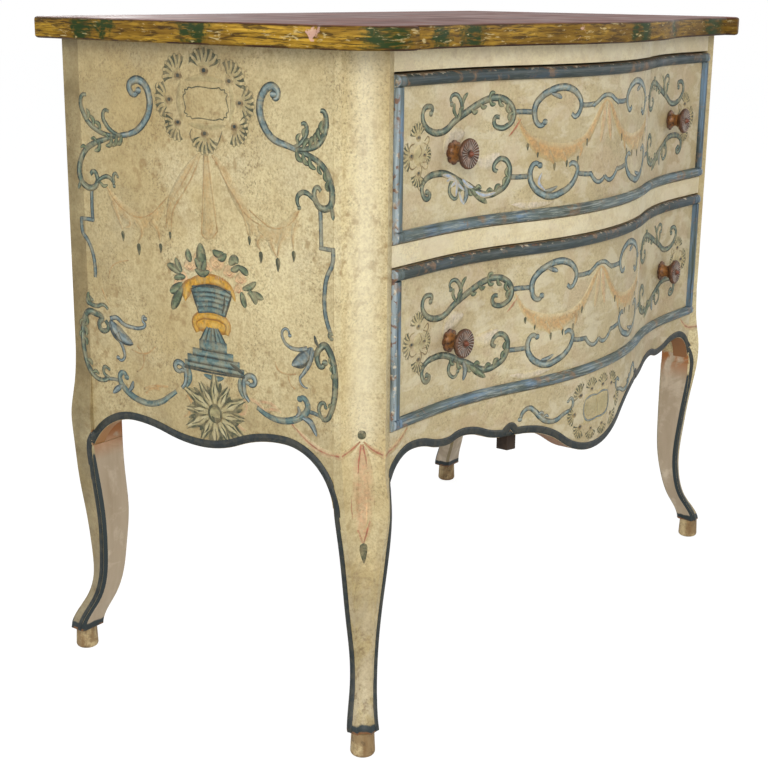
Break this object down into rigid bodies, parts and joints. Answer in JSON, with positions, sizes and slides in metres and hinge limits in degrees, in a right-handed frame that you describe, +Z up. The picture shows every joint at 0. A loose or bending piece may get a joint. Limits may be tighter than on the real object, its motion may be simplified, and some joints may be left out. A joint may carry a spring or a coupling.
{
  "type": "chest of drawers",
  "caption": "painted commode with a serpentine front, drawers framed by blue beads, petalled knobs and cabriole legs under a shaped apron",
  "frame": {"origin": "on the floor, under the middle of the overall box", "axes": "+X to the right of someone facing the front, along the width; +Y to the back; +Z up; the drawers pull out along -Y"},
  "size_m": [0.98, 0.58, 0.85],
  "materials": {
    "cream_paint": "aged cream paint on wood, satin",
    "bead_paint": "worn slate blue paint, satin",
    "faux_marble": "ochre faux marble paint, satin",
    "bare_wood": "bare aged softwood, matte",
    "dark_wood": "dark stained block, matte",
    "foot_wood": "worn paint over pale wood, matte",
    "knob_metal": "aged cast brass with painted flutes",
    "iron": "dark iron, matte"
  },
  "bodies": {
    "carcass": {"top_board": "faux_marble", "front_left_leg": "cream_paint", "front_right_leg": "cream_paint", "rear_left_leg": "cream_paint", "rear_right_leg": "cream_paint", "front_left_foot": "foot_wood", "front_right_foot": "foot_wood", "rear_left_foot": "foot_wood", "rear_right_foot": "foot_wood", "left_side_panel": "cream_paint", "right_side_panel": "cream_paint", "back_board_bottom": "bare_wood", "back_board_middle": "bare_wood", "back_board_top": "bare_wood", "rear_top_rail": "bare_wood", "top_rail": "cream_paint", "middle_rail": "cream_paint", "apron": "cream_paint", "apron_glue_blocks": "dark_wood", "lower_left_runner": "bare_wood", "lower_left_guide": "bare_wood", "lower_right_runner": "bare_wood", "lower_right_guide": "bare_wood", "upper_left_runner": "bare_wood", "upper_left_guide": "bare_wood", "upper_right_runner": "bare_wood", "upper_right_guide": "bare_wood", "left_kicker": "bare_wood", "right_kicker": "bare_wood", "bottom_board": "bare_wood", "dust_board": "bare_wood", "lower_drawer_stops": "bare_wood", "upper_drawer_stops": "bare_wood"},
    "lower_drawer": {"lower_drawer_front": "cream_paint", "lower_drawer_left_side": "bare_wood", "lower_drawer_right_side": "bare_wood", "lower_drawer_back": "bare_wood", "lower_drawer_bottom": "bare_wood", "lower_drawer_bead": "bead_paint", "lower_drawer_left_knob": "knob_metal", "lower_drawer_right_knob": "knob_metal", "lower_drawer_knob_nuts": "iron"},
    "upper_drawer": {"upper_drawer_front": "cream_paint", "upper_drawer_left_side": "bare_wood", "upper_drawer_right_side": "bare_wood", "upper_drawer_back": "bare_wood", "upper_drawer_bottom": "bare_wood", "upper_drawer_bead": "bead_paint", "upper_drawer_left_knob": "knob_metal", "upper_drawer_right_knob": "knob_metal", "upper_drawer_knob_nuts": "iron"}
  },
  "joints": [
    {"name": "upper_drawer_slide", "type": "slide", "parent": "carcass", "child": "upper_drawer", "axis": [0, -1, 0], "range_m": [0, 0.36]},
    {"name": "lower_drawer_slide", "type": "slide", "parent": "carcass", "child": "lower_drawer", "axis": [0, -1, 0], "range_m": [0, 0.36]}
  ]
}
